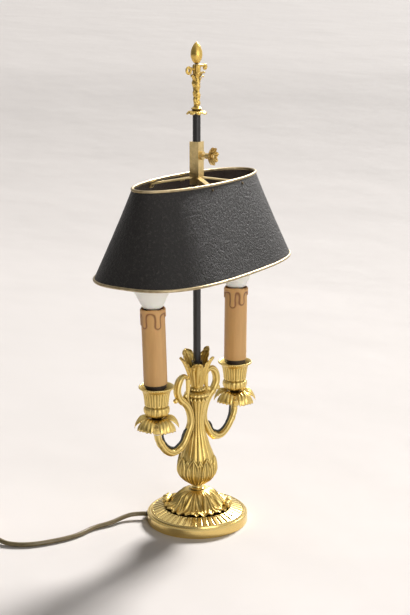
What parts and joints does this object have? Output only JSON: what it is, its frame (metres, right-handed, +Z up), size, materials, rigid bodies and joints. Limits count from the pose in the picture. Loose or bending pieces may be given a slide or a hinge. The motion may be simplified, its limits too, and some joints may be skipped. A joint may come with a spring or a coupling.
{
  "type": "bouillotte lamp",
  "caption": "Gilt table lamp with scroll arms carrying candle lamps under an oval metal shade that slides on a rod held by a thumbscrew; fluted round base and a cord with switch and plug.",
  "frame": {"origin": "middle of the felt pad under the round base, on the surface that the lamp stands on", "axes": "+Z up along the rod; X along the two arms, with the shade turned ten degrees from them about Z"},
  "size_m": [0.3933, 0.3714, 0.5435],
  "materials": {
    "gilt_bronze": "satin gilt with olive-brown shadows in the recesses",
    "black_metal": "satin black",
    "shade_paint": "fine-grained charcoal black outside, dark brown inside",
    "rim_brass": "satin",
    "frosted_glass": "frosted white",
    "contact_brass": "bright",
    "holder_black": "matte black",
    "sleeve_wax": "tan, with darker edges round the moulded drips",
    "wire_black": "satin",
    "cord_cover": "olive-gold sheath, satin",
    "moulded_brown": "satin",
    "rocker_cream": "gloss",
    "plated_steel": "plated",
    "cast_weight": "rough cast",
    "felt": "dark green felt"
  },
  "bodies": {
    "lamp_body": {"arm_left": "gilt_bronze", "arm_nipple_left": "plated_steel", "arm_nipple_right": "plated_steel", "arm_right": "gilt_bronze", "base_felt": "felt", "base_mound": "gilt_bronze", "base_nut": "plated_steel", "base_plinth": "gilt_bronze", "base_washer": "plated_steel", "base_weight": "cast_weight", "candle_cup_left": "gilt_bronze", "candle_cup_right": "gilt_bronze", "candle_holder_left": "holder_black", "candle_holder_right": "holder_black", "candle_sleeve_left": "sleeve_wax", "candle_sleeve_right": "sleeve_wax", "cord_coil": "cord_cover", "cord_gland": "holder_black", "cord_lead": "cord_cover", "cord_mid": "cord_cover", "cord_tail": "cord_cover", "drip_pan_left": "gilt_bronze", "drip_pan_right": "gilt_bronze", "holder_contacts_left": "contact_brass", "holder_contacts_right": "contact_brass", "lead_wire_left": "wire_black", "lead_wire_right": "wire_black", "leaf_cup": "gilt_bronze", "neck_ring": "gilt_bronze", "plug_body": "moulded_brown", "plug_pins": "plated_steel", "rod_coupler": "black_metal", "stem": "gilt_bronze", "stem_spool": "gilt_bronze", "switch_bottom": "moulded_brown", "switch_screws": "plated_steel", "switch_top": "moulded_brown", "tie_tube": "plated_steel"},
    "rod": {"rod": "black_metal"},
    "finial": {"finial_skirt": "gilt_bronze", "finial_shaft": "gilt_bronze", "finial_bud": "gilt_bronze"},
    "shade": {"shade_skin": "shade_paint", "shade_rim_top": "rim_brass", "shade_rim_bottom": "rim_brass", "shade_rivets": "rim_brass", "slide_block": "gilt_bronze", "clamp_boss": "gilt_bronze", "spider_bar_front_left": "gilt_bronze", "spider_bar_front_right": "gilt_bronze", "spider_bar_back_left": "gilt_bronze", "spider_bar_back_right": "gilt_bronze"},
    "clamp": {"clamp_screw": "gilt_bronze", "clamp_knob": "gilt_bronze"},
    "bulb_left": {"bulb_glass_left": "frosted_glass", "bulb_cap_left": "contact_brass"},
    "bulb_right": {"bulb_glass_right": "frosted_glass", "bulb_cap_right": "contact_brass"},
    "rocker": {"switch_rocker": "rocker_cream"}
  },
  "joints": [
    {"name": "shade_swivel", "type": "hinge", "parent": "lamp_body", "child": "rod", "pos_m": [0, 0, 0.3], "axis": [0, 0, 1], "range_deg": [-27, 7]},
    {"name": "shade_slide", "type": "slide", "parent": "rod", "child": "shade", "axis": [0, 0, 1], "range_m": [-0.055, 0.026]},
    {"name": "clamp_turn", "type": "hinge", "parent": "shade", "child": "clamp", "pos_m": [0.00351, -0.01989, 0.423], "axis": [0.1736, -0.9848, 0], "continuous": true},
    {"name": "finial_turn", "type": "hinge", "parent": "rod", "child": "finial", "pos_m": [0, 0, 0.48], "axis": [0, 0, 1], "continuous": true},
    {"name": "bulb_left_turn", "type": "hinge", "parent": "lamp_body", "child": "bulb_left", "pos_m": [-0.07111, 0, 0.26628], "axis": [-0.0384, 0, 0.9993], "continuous": true},
    {"name": "bulb_right_turn", "type": "hinge", "parent": "lamp_body", "child": "bulb_right", "pos_m": [0.06776, 0, 0.26611], "axis": [0.0105, 0, 0.9999], "continuous": true},
    {"name": "rocker_tilt", "type": "hinge", "parent": "lamp_body", "child": "rocker", "pos_m": [-0.1768, 0.1768, 0.01], "axis": [0.9171, -0.3987, 0], "range_deg": [-16, 0]}
  ]
}
